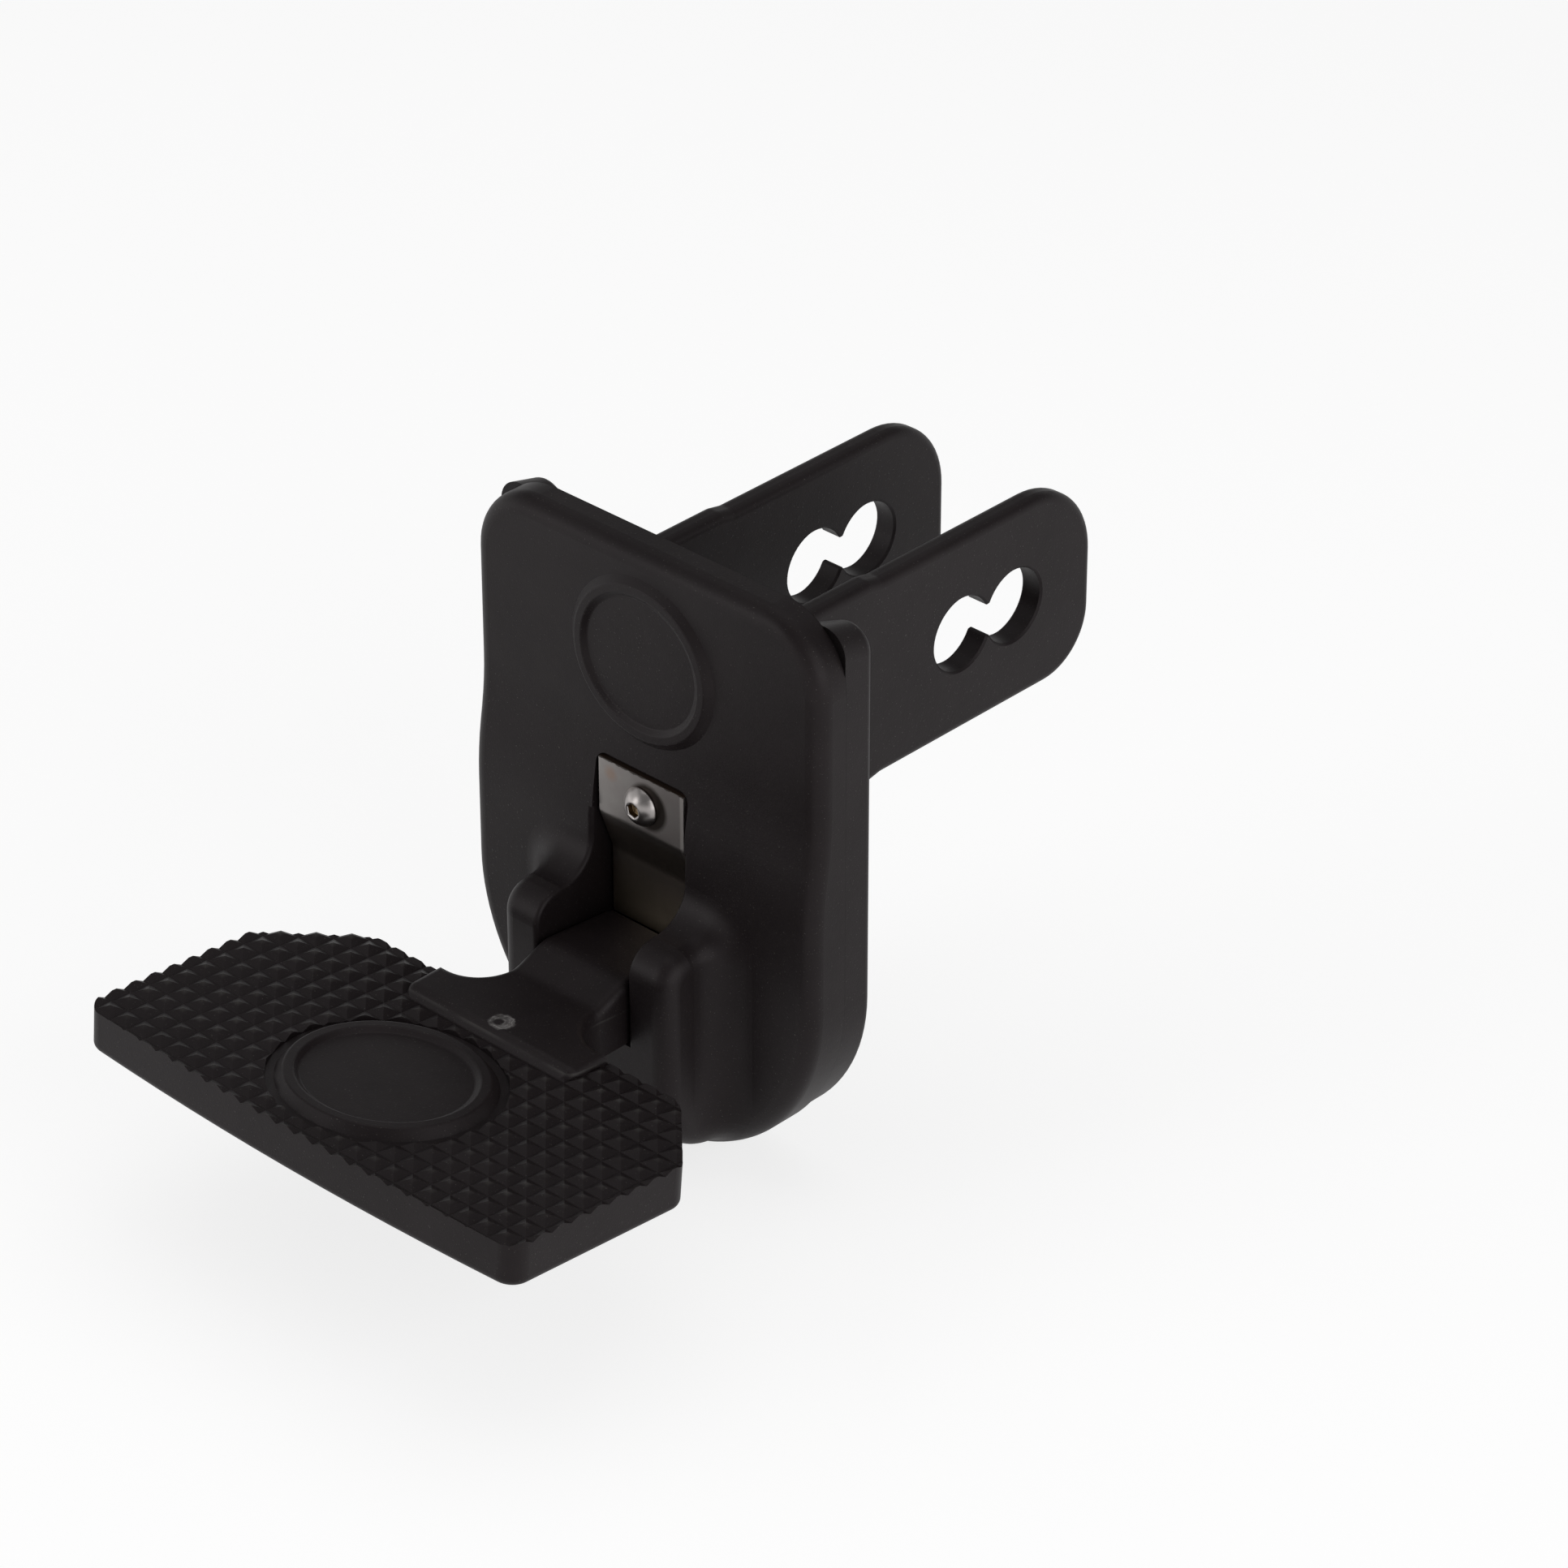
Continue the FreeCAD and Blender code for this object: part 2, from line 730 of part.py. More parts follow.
def strip_corners(points, thickness, radius):
    """Both faces of a bent strip: the points of one face, and those points set off by its thickness."""
    near = []
    far_side = []
    last = len(points) - 1
    for k, (a, b) in enumerate(points):
        here = V(a, b, 0)
        towards = []
        if k > 0:
            towards.append((here - V(points[k - 1][0], points[k - 1][1], 0)).normalize())
        if k < last:
            towards.append((V(points[k + 1][0], points[k + 1][1], 0) - here).normalize())
        normals = [V(-d.y, d.x, 0) for d in towards]
        if len(normals) == 1:
            near.append((a, b, 0))
            offset = here + normals[0] * thickness
            far_side.append((offset.x, offset.y, 0))
            continue
        mitre = (normals[0] + normals[1]).normalize()
        offset = here + mitre * (thickness / mitre.dot(normals[0]))
        turn = towards[0].cross(towards[1]).z
        outer = radius + thickness
        near.append((a, b, radius if turn > 0 else outer))
        far_side.append((offset.x, offset.y, outer if turn > 0 else radius))
    return near + far_side[::-1]


def spring_foot_z():
    """Lowest point of the spring's leg, just clear of the hub's corner as it swings past."""
    reach = hub_corner_reach + spring_hub_clearance
    return hinge_z + math.sqrt(reach**2 - (leg_front_y - hinge_y) ** 2)


def leaf_spring():
    """Spring steel strip, screwed flat to the bracket and bent back into the pocket."""
    front = [
        (spring_front_y, -spring_top_drop),
        (spring_front_y, -spring_bend_drop),
        (leg_front_y, -spring_leg_drop),
        (leg_front_y, spring_foot_z()),
    ]
    half = spring_width / 2
    body = prism_x(strip_corners(front, spring_thickness, spring_bend_radius), -half, half)
    hole = cylinder_y(screw_radius + spring_hole_clearance, -far, 0, 0, -screw_drop)
    return body.cut(hole)


def spring_screw():
    """Button head screw with a hexagon socket, its dome in two tapers."""
    head_back = spring_front_y
    section = [
        (0, 0, 0),
        (screw_head_radius, 0, 0),
        (screw_head_radius, screw_head_rim, 0),
        (screw_dome_radius, screw_dome_height, 0),
        (screw_crown_radius, screw_head_height, 0),
        (0, screw_head_height, 0),
    ]
    head = rounded_face(section, at_z(0)).revolve(V(0, 0, 0), V(0, 1, 0), 360)
    head = head.mirror(V(0, 0, 0), V(0, 1, 0))
    head.translate(V(0, head_back, 0))
    shank = cylinder_y(screw_radius, head_back - screw_shank_overlap, head_back + screw_length, 0, 0)
    across = screw_socket_across_flats / math.sqrt(3)
    corners = []
    for k in range(6):
        angle = math.radians(60 * k + screw_socket_turn)
        corners.append((across * math.cos(angle), across * math.sin(angle), 0))
    socket_floor = head_back - screw_head_height + screw_socket_depth
    socket = prism_y(corners, -far, socket_floor)
    body = head.fuse(shank).cut(socket)
    body.translate(V(0, 0, -screw_drop))
    return body


def hinge_pin():
    """Plain steel pin, pressed in from the left side into its blind bore."""
    x0 = -cheek_half + hinge_pin_recess
    x1 = cheek_half - hinge_pin_wall - hinge_pin_recess
    body = cylinder_x(hinge_pin_radius, x0, x1, hinge_y, hinge_z)
    ends = edges_in_plane(body, 0, x0) + edges_in_plane(body, 0, x1)
    return body.makeChamfer(hinge_pin_chamfer, ends)


parts = {
    "hitch_bracket": hitch_bracket(),
    "step_pad": step_pad(),
    "leaf_spring": leaf_spring(),
    "spring_screw": spring_screw(),
    "hinge_pin": hinge_pin(),
}

os.makedirs("parts", exist_ok=True)
for name, shape in parts.items():
    shape.exportStep(os.path.join("parts", name + ".step"))
    print(name, "solids", len(shape.Solids), "valid", shape.isValid(), "volume", round(shape.Volume))
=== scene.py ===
"""Looks of a folding hitch step: a black coated bracket and tread, a bare leaf spring and its screw."""

import bpy
import numpy as np
from mathutils import Matrix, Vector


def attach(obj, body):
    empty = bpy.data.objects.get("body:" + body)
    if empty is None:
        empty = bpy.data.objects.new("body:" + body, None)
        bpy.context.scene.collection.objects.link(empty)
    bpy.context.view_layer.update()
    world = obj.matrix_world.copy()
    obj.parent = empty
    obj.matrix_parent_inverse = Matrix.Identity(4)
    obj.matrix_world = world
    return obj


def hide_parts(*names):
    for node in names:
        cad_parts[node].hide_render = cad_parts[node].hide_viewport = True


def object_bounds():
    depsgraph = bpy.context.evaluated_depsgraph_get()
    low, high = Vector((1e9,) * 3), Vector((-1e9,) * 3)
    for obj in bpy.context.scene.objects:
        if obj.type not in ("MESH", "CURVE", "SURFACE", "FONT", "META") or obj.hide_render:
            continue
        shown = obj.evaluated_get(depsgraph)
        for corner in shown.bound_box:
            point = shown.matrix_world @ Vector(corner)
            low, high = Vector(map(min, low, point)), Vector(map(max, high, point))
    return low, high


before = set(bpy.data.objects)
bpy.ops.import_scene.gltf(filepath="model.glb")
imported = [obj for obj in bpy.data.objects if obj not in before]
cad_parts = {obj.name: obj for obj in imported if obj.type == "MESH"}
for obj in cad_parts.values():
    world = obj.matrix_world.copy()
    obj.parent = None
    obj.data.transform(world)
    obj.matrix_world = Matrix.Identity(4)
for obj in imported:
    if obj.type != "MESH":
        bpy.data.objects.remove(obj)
cad_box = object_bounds()


# Bracket. The real one is an aluminium casting with two tongue prongs, shot blasted and then sprayed
# with black powder that is baked on. The bake leaves a satin skin with a fine grain, and a dark line
# shows where the two halves of the mould met.

def linear(hex_colour):
    """sRGB hex to linear RGBA: c/12.92 below 0.04045, else ((c + 0.055)/1.055) to the power 2.4."""
    c = np.array([int(hex_colour[k:k + 2], 16) for k in (1, 3, 5)]) / 255
    c = np.where(c <= 0.04045, c / 12.92, ((c + 0.055) / 1.055) ** 2.4)
    return (*map(float, c), 1.0)


def add(tree, kind, inputs=None, **settings):
    """Adds one node: settings are its properties, inputs its sockets, given as values or as links."""
    made = tree.nodes.new(kind)
    for name, value in settings.items():
        setattr(made, name, value)
    for name, value in (inputs or {}).items():
        if isinstance(value, bpy.types.NodeSocket):
            tree.links.new(value, made.inputs[name])
        else:
            made.inputs[name].default_value = value
    return made


def new_material(name):
    """An empty node material with its tree and its output node."""
    material = bpy.data.materials.new(name)
    material.use_nodes = True
    tree = material.node_tree
    tree.nodes.clear()
    return material, tree, add(tree, "ShaderNodeOutputMaterial")


# Sizes and places are in metres, in the shared frame.
cloud_width = 0.03
grain_width = 0.0004
grain_relief = 0.00005
wave_width = 0.005
wave_relief = 0.00015
soot_black = linear("#191415")
faded_black = linear("#241f20")
grain_grey = linear("#565451")
coat_sheen = linear("#fff8fa")


def powder_coat(name):
    """Black satin powder coat on a casting. It looks dark and dry, with a faint warm sheen.

    Colour: two blacks in clouds 30 mm wide, with a few grey grains.
    Relief: the powder's grain over the casting's own waves, which are 5 mm wide. The grains are really
    finer than 0.1 mm, too fine to show, so they are drawn 0.4 mm wide.
    Returns the material, its tree, shader, place and colour, so that wear can be laid over it.
    """
    material, tree, output = new_material(name)
    place = add(tree, "ShaderNodeTexCoord").outputs["Object"]
    clouds = add(
        tree, "ShaderNodeTexNoise",
        {"Vector": place, "Scale": 1 / cloud_width, "Detail": 6.0, "Roughness": 0.65},
    )
    cloud = add(
        tree, "ShaderNodeMapRange", {"Value": clouds.outputs["Fac"], "From Min": 0.3, "From Max": 0.7},
    )
    body = add(
        tree, "ShaderNodeMix",
        {"Factor": cloud.outputs["Result"], "A": soot_black, "B": faded_black}, data_type="RGBA",
    )
    grain = add(tree, "ShaderNodeTexNoise", {"Vector": place, "Scale": 1 / grain_width, "Detail": 1.0})
    speck = add(
        tree, "ShaderNodeMapRange",
        {"Value": grain.outputs["Fac"], "From Min": 0.7, "From Max": 0.78, "To Max": 0.6},
    )
    colour = add(
        tree, "ShaderNodeMix",
        {"Factor": speck.outputs["Result"], "A": body.outputs["Result"], "B": grain_grey},
        data_type="RGBA",
    )
    waves = add(
        tree, "ShaderNodeTexNoise",
        {"Vector": place, "Scale": 1 / wave_width, "Detail": 5.0, "Roughness": 0.6},
    )
    cast = add(
        tree, "ShaderNodeBump", {"Height": waves.outputs["Fac"], "Distance": wave_relief, "Strength": 0.3},
    )
    peel = add(
        tree, "ShaderNodeBump",
        {"Height": grain.outputs["Fac"], "Distance": grain_relief, "Strength": 0.4,
         "Normal": cast.outputs["Normal"]},
    )
    shader = add(
        tree, "ShaderNodeBsdfPrincipled",
        {"Base Color": colour.outputs["Result"], "Roughness": 0.44, "Specular IOR Level": 0.2,
         "Specular Tint": coat_sheen, "Normal": peel.outputs["Normal"]},
    )
    tree.links.new(shader.outputs["BSDF"], output.inputs["Surface"])
    return material, tree, shader, place, colour.outputs["Result"]


def dress(node_name, material):
    """Gives a CAD node its finish."""
    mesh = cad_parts[node_name].data
    mesh.materials.clear()
    mesh.materials.append(material)


parting_plane = -0.009
seam_edge = 0.0003
seam_core = 0.0001
seam_black = linear("#0a0808")

bracket_coat, tree, shader, place, colour = powder_coat("black powder coat on the bracket")
across = add(tree, "ShaderNodeSeparateXYZ", {"Vector": place})
from_parting = add(
    tree, "ShaderNodeMath", {0: across.outputs["Y"], 1: parting_plane}, operation="SUBTRACT",
)
apart = add(tree, "ShaderNodeMath", {0: from_parting.outputs["Value"]}, operation="ABSOLUTE")
seam = add(
    tree, "ShaderNodeMapRange",
    {"Value": apart.outputs["Value"], "From Min": seam_edge, "From Max": seam_core, "To Max": 0.7},
)
seamed = add(
    tree, "ShaderNodeMix", {"Factor": seam.outputs["Result"], "A": colour, "B": seam_black},
    data_type="RGBA",
)
tree.links.new(seamed.outputs["Result"], shader.inputs["Base Color"])
dress("hitch_bracket", bracket_coat)


# Step. Tread, neck and hub are one aluminium casting with the same black coat, which turns on the
# hinge pin. Shoes rub the tips of the tread grey in patches, and a ring on the neck is worn to the
# metal and scored in circles.

tread_tilt = np.radians(5.24)
tread_normal = (0.0, np.sin(tread_tilt), np.cos(tread_tilt))
tip_height = -0.06294
tip_zone = 0.0005
tip_margin = 0.0001
boss_middle = (0.0, -0.0971, 0.0)
boss_half_width = 0.0275
boss_half_length = 0.0254
rub_width = 0.012
rubbed_grey = linear("#4e4c4a")
ring_middle = (0.0007, -0.0634, -0.0561)
ring_hole_middle = (0.0002, -0.0639, -0.0561)
ring_outside = 0.0031
ring_inside = 0.0011
ring_stretch = (1.0, 1.12, 1.0)
ring_edge_blur = 0.0002
hole_edge_blur = 0.0003
ragged_width = 0.0016
ragged_reach = 0.0005
scuff_width = 0.0022
scratch_pitch = 0.0008
bare_aluminium = linear("#a5a2a0")

step_coat, tree, shader, place, colour = powder_coat("black powder coat on the tread")

# Tips: the last half millimetre of the pyramids, by their height along the tilted tread's normal,
# but not within the oval of the boss.
height = add(
    tree, "ShaderNodeVectorMath", {0: place, 1: tread_normal}, operation="DOT_PRODUCT",
).outputs["Value"]
rising = add(
    tree, "ShaderNodeMapRange",
    {"Value": height, "From Min": tip_height - tip_zone, "From Max": tip_height - tip_margin},
)
above = add(
    tree, "ShaderNodeMapRange",
    {"Value": height, "From Min": tip_height + tip_margin, "From Max": tip_height + 2 * tip_margin,
     "To Min": 1.0, "To Max": 0.0},
)
tips = add(
    tree, "ShaderNodeMath", {0: rising.outputs["Result"], 1: above.outputs["Result"]},
    operation="MULTIPLY",
)
from_boss = add(tree, "ShaderNodeVectorMath", {0: place, 1: boss_middle}, operation="SUBTRACT")
in_boss = add(
    tree, "ShaderNodeVectorMath",
    {0: from_boss.outputs["Vector"], 1: (1 / boss_half_width, 1 / boss_half_length, 0.0)},
    operation="MULTIPLY",
)
out = add(tree, "ShaderNodeVectorMath", {0: in_boss.outputs["Vector"]}, operation="LENGTH")
clear = add(tree, "ShaderNodeMath", {0: out.outputs["Value"], 1: 1.0}, operation="GREATER_THAN")
clear_tips = add(
    tree, "ShaderNodeMath", {0: tips.outputs["Value"], 1: clear.outputs["Value"]}, operation="MULTIPLY",
)
patches = add(tree, "ShaderNodeTexNoise", {"Vector": place, "Scale": 1 / rub_width, "Detail": 4.0})
rub = add(
    tree, "ShaderNodeMapRange",
    {"Value": patches.outputs["Fac"], "From Min": 0.35, "From Max": 0.7, "To Max": 0.6},
)
worn = add(
    tree, "ShaderNodeMath", {0: clear_tips.outputs["Value"], 1: rub.outputs["Result"]},
    operation="MULTIPLY",
)
tipped = add(
    tree, "ShaderNodeMix", {"Factor": worn.outputs["Value"], "A": colour, "B": rubbed_grey},
    data_type="RGBA",
)

# Ring: bare metal from a small hole out to a ragged edge, a tenth shorter from front to back. It is
# darker where the coat is only scuffed, and bright along its circular scratches.
ragged = add(tree, "ShaderNodeTexNoise", {"Vector": place, "Scale": 1 / ragged_width, "Detail": 4.0})
sway = add(
    tree, "ShaderNodeMapRange",
    {"Value": ragged.outputs["Fac"], "From Min": 0.25, "From Max": 0.75,
     "To Min": -ragged_reach, "To Max": ragged_reach},
)
off_ring = add(tree, "ShaderNodeVectorMath", {0: place, 1: ring_middle}, operation="SUBTRACT")
stretched = add(
    tree, "ShaderNodeVectorMath", {0: off_ring.outputs["Vector"], 1: ring_stretch}, operation="MULTIPLY",
)
from_ring = add(tree, "ShaderNodeVectorMath", {0: stretched.outputs["Vector"]}, operation="LENGTH")
from_hole = add(tree, "ShaderNodeVectorMath", {0: place, 1: ring_hole_middle}, operation="DISTANCE")
wavy = add(
    tree, "ShaderNodeMath", {0: from_ring.outputs["Value"], 1: sway.outputs["Result"]}, operation="ADD",
)
within = add(
    tree, "ShaderNodeMapRange",
    {"Value": wavy.outputs["Value"], "From Min": ring_outside + ring_edge_blur,
     "From Max": ring_outside - ring_edge_blur},
)
outside_hole = add(
    tree, "ShaderNodeMapRange",
    {"Value": from_hole.outputs["Value"], "From Min": ring_inside - ring_edge_blur,
     "From Max": ring_inside + hole_edge_blur},
)
band = add(
    tree, "ShaderNodeMath", {0: within.outputs["Result"], 1: outside_hole.outputs["Result"]},
    operation="MULTIPLY",
)
scuffs = add(tree, "ShaderNodeTexNoise", {"Vector": place, "Scale": 1 / scuff_width, "Detail": 2.0})
scuff = add(
    tree, "ShaderNodeMapRange",
    {"Value": scuffs.outputs["Fac"], "From Min": 0.38, "From Max": 0.64, "To Min": 0.1, "To Max": 0.42},
)
turns = add(
    tree, "ShaderNodeMath", {0: wavy.outputs["Value"], 1: 2 * np.pi / scratch_pitch},
    operation="MULTIPLY",
)
groove = add(tree, "ShaderNodeMath", {0: turns.outputs["Value"]}, operation="SINE")
scratch = add(
    tree, "ShaderNodeMapRange", {"Value": groove.outputs["Value"], "From Min": 0.6, "To Max": 0.9},
)
scored = add(
    tree, "ShaderNodeMath",
    {0: scratch.outputs["Result"], 1: scuff.outputs["Result"], 2: scuff.outputs["Result"]},
    operation="MULTIPLY_ADD", use_clamp=True,
)
bare = add(
    tree, "ShaderNodeMath", {0: band.outputs["Value"], 1: scored.outputs["Value"]},
    operation="MULTIPLY",
)
ringed = add(
    tree, "ShaderNodeMix",
    {"Factor": bare.outputs["Value"], "A": tipped.outputs["Result"], "B": bare_aluminium},
    data_type="RGBA",
)
tree.links.new(ringed.outputs["Result"], shader.inputs["Base Color"])
dress("step_pad", step_coat)


# Leaf spring. A strip of cold rolled spring steel, sheared to length, bent twice, left bare and held
# by one screw. It is satin, with painted light on its left and a painted highlight along its right
# edge, a painted shadow of the screw beside it, a spot of tarnish, a brown film from the upper bend
# down, and rust with painted shade on its sheared edges.

mill_line = (0.0005, 0.006, 0.009)
mill_relief = 0.00002
blotch_width = 0.006
shaded_side = 0.008
lit_side = -0.014
highlight_start = 0.0117
highlight_full = 0.0121
film_start = -0.0275
film_full = -0.031
leg_start = -0.041
leg_end = -0.052
rust_and_shade_line = -0.01385
rust_and_shade_least = -0.0001
rust_and_shade_most = 0.0004
rust_and_shade_blur = 0.00015
rust_grain = 0.0012
dull_and_shaded_steel = linear("#9a9391")
light_and_lit_steel = linear("#a5a19e")
rim_highlight = linear("#d2ccc8")
brown_film = linear("#7d736c")
straw_film = linear("#b0a28f")
rust_and_shade_brown = linear("#2b2019")

spring_steel, tree, output = new_material("cold rolled spring steel")
place = add(tree, "ShaderNodeTexCoord").outputs["Object"]


def stain_and_shadow_spot(metal, middle, edge, core, cover, spot_colour):
    """Lays a round spot on the spring, for a stain and for a painted shadow: none of it beyond edge from
    the middle, cover within core.
    """
    away = add(tree, "ShaderNodeVectorMath", {0: place, 1: middle}, operation="DISTANCE")
    spread = add(
        tree, "ShaderNodeMapRange",
        {"Value": away.outputs["Value"], "From Min": edge, "From Max": core, "To Max": cover},
    )
    return add(
        tree, "ShaderNodeMix", {"Factor": spread.outputs["Result"], "A": metal, "B": spot_colour},
        data_type="RGBA",
    ).outputs["Result"]


# The lines of the rolling mill run up the strip. They are really some hundredths of a millimetre
# apart, too fine to show, so they are drawn 0.5 mm apart.
along = add(tree, "ShaderNodeSeparateXYZ", {"Vector": place})
lengthened = add(
    tree, "ShaderNodeMapping", {"Vector": place, "Scale": tuple(1 / length for length in mill_line)},
)
streaks = add(
    tree, "ShaderNodeTexNoise", {"Vector": lengthened.outputs["Vector"], "Scale": 1.0, "Detail": 4.0},
)
blotches = add(
    tree, "ShaderNodeTexNoise",
    {"Vector": place, "Scale": 1 / blotch_width, "Detail": 3.0, "Roughness": 0.6},
)
# Painted light: the strip is lighter towards its left, mixed with random blotches of tone.
bright = add(
    tree, "ShaderNodeMapRange",
    {"Value": along.outputs["X"], "From Min": shaded_side, "From Max": lit_side,
     "To Min": 0.15, "To Max": 0.85},
)
patch = add(
    tree, "ShaderNodeMapRange",
    {"Value": blotches.outputs["Fac"], "From Min": 0.3, "From Max": 0.7, "To Min": -0.35, "To Max": 0.35},
)
lightness = add(
    tree, "ShaderNodeMath", {0: bright.outputs["Result"], 1: patch.outputs["Result"]}, operation="ADD",
    use_clamp=True,
)
lit_and_blotched = add(
    tree, "ShaderNodeMix", {"Factor": lightness.outputs["Value"], "A": dull_and_shaded_steel, "B": light_and_lit_steel},
    data_type="RGBA",
)
tarnished = stain_and_shadow_spot(
    lit_and_blotched.outputs["Result"], middle=(-0.0093, -0.0190, -0.0168), edge=0.0024, core=0.0008, cover=0.55,
    spot_colour=linear("#a58a78"),
)
# Painted shadow and dark reflection of the screw head: a dark brown spot beside the screw.
screw_shadowed = stain_and_shadow_spot(
    tarnished, middle=(0.0020, -0.0190, -0.0208), edge=0.0063, core=0.0051, cover=0.95,
    spot_colour=linear("#342c27"),
)
# Painted highlight: a light band along the strip's right edge.
painted_rim_highlight = add(
    tree, "ShaderNodeMapRange",
    {"Value": along.outputs["X"], "From Min": highlight_start, "From Max": highlight_full, "To Max": 0.8},
)
highlighted = add(
    tree, "ShaderNodeMix", {"Factor": painted_rim_highlight.outputs["Result"], "A": screw_shadowed, "B": rim_highlight},
    data_type="RGBA",
)
filmed = add(
    tree, "ShaderNodeMapRange",
    {"Value": along.outputs["Z"], "From Min": film_start, "From Max": film_full},
)
leg = add(
    tree, "ShaderNodeMapRange", {"Value": along.outputs["Z"], "From Min": leg_start, "From Max": leg_end},
)
film_colour = add(
    tree, "ShaderNodeMix", {"Factor": leg.outputs["Result"], "A": brown_film, "B": straw_film},
    data_type="RGBA",
)
tinted = add(
    tree, "ShaderNodeMix",
    {"Factor": filmed.outputs["Result"], "A": highlighted.outputs["Result"], "B": film_colour.outputs["Result"]},
    data_type="RGBA",
)

# Rust sits where the strip was sheared: on faces that look up or down, and along the top end. The
# dark brown there is partly rust and partly painted shade and dark reflection on these narrow faces.
facing = add(
    tree, "ShaderNodeSeparateXYZ", {"Vector": add(tree, "ShaderNodeTexCoord").outputs["Normal"]},
)
upward = add(tree, "ShaderNodeMath", {0: facing.outputs["Z"]}, operation="ABSOLUTE")
edge = add(
    tree, "ShaderNodeMapRange", {"Value": upward.outputs["Value"], "From Min": 0.8, "From Max": 0.95},
)
pitted = add(tree, "ShaderNodeTexNoise", {"Vector": place, "Scale": 1 / rust_grain, "Detail": 3.0})
from_top = add(tree, "ShaderNodeMath", {0: along.outputs["Z"], 1: rust_and_shade_line}, operation="SUBTRACT")
eaten = add(
    tree, "ShaderNodeMapRange",
    {"Value": pitted.outputs["Fac"], "From Min": 0.35, "From Max": 0.75,
     "To Min": rust_and_shade_least, "To Max": rust_and_shade_most},
)
creep = add(
    tree, "ShaderNodeMath", {0: from_top.outputs["Value"], 1: eaten.outputs["Result"]}, operation="ADD",
)
rim = add(tree, "ShaderNodeMapRange", {"Value": creep.outputs["Value"], "From Max": rust_and_shade_blur})
rust_and_shade = add(
    tree, "ShaderNodeMath", {0: rim.outputs["Result"], 1: edge.outputs["Result"]}, operation="MAXIMUM",
)
rust_and_shade_laid = add(
    tree, "ShaderNodeMix",
    {"Factor": rust_and_shade.outputs["Value"], "A": tinted.outputs["Result"], "B": rust_and_shade_brown}, data_type="RGBA",
)
film = add(tree, "ShaderNodeMapRange", {"Value": filmed.outputs["Result"], "To Max": 0.04})
dulled = add(
    tree, "ShaderNodeMath", {0: rust_and_shade.outputs["Value"], 1: film.outputs["Result"]}, operation="MAXIMUM",
)
steel = add(tree, "ShaderNodeMath", {0: 1.0, 1: dulled.outputs["Value"]}, operation="SUBTRACT")
satin = add(
    tree, "ShaderNodeMapRange", {"Value": streaks.outputs["Fac"], "To Min": 0.33, "To Max": 0.4},
)
rolled = add(
    tree, "ShaderNodeBump", {"Height": streaks.outputs["Fac"], "Distance": mill_relief, "Strength": 0.12},
)
shader = add(
    tree, "ShaderNodeBsdfPrincipled",
    {"Base Color": rust_and_shade_laid.outputs["Result"], "Metallic": steel.outputs["Value"],
     "Roughness": satin.outputs["Result"], "Normal": rolled.outputs["Normal"]},
)
tree.links.new(shader.outputs["BSDF"], output.inputs["Surface"])
dress("leaf_spring", spring_steel)


# Spring screw. An M5 button head screw of stainless steel, cold formed, with a punched hexagon socket.
# Its dome is bright, its socket is a little brown and painted darker as shade, and the punch leaves a
# narrow lip round the mouth. It holds the spring to the plate.

screw_axis = (0.0, -0.0213)
head_seat = -0.0187
head_radius = 0.00475
head_height = 0.00275
rim_height = 0.00035
dome_rings = 14
shank_radius = 0.0024
shank_length = 0.012
across_flats = 0.003
mouth_radius = 0.0021
socket_depth = 0.0016
socket_turn = np.radians(15)
bead = 0.00012
shadow_start = 0.0003
shadow_full = 0.0006
handling_width = 0.002
bright_steel = linear("#a5a09e")
socket_brown_and_shade = linear("#85745c")


def dome(count):
    """Distance and height along the head: a circle's arc through the rim's edge and the mouth's edge.

    Its centre lies on the axis, where both edges are equally far from it.
    """
    centre = (head_radius ** 2 + rim_height ** 2 - mouth_radius ** 2 - head_height ** 2) / (
        2 * (rim_height - head_height))
    radius = np.hypot(head_radius, rim_height - centre)
    angle = np.linspace(np.arcsin(head_radius / radius), np.arcsin(mouth_radius / radius), count)
    return radius * np.sin(angle), centre + radius * np.cos(angle)


def hexagon(angle):
    """How much farther than the flats a hexagon's edge lies: 1 / cos of the angle from a flat's middle."""
    return 1 / np.cos((angle + np.pi / 6) % (np.pi / 3) - np.pi / 6)


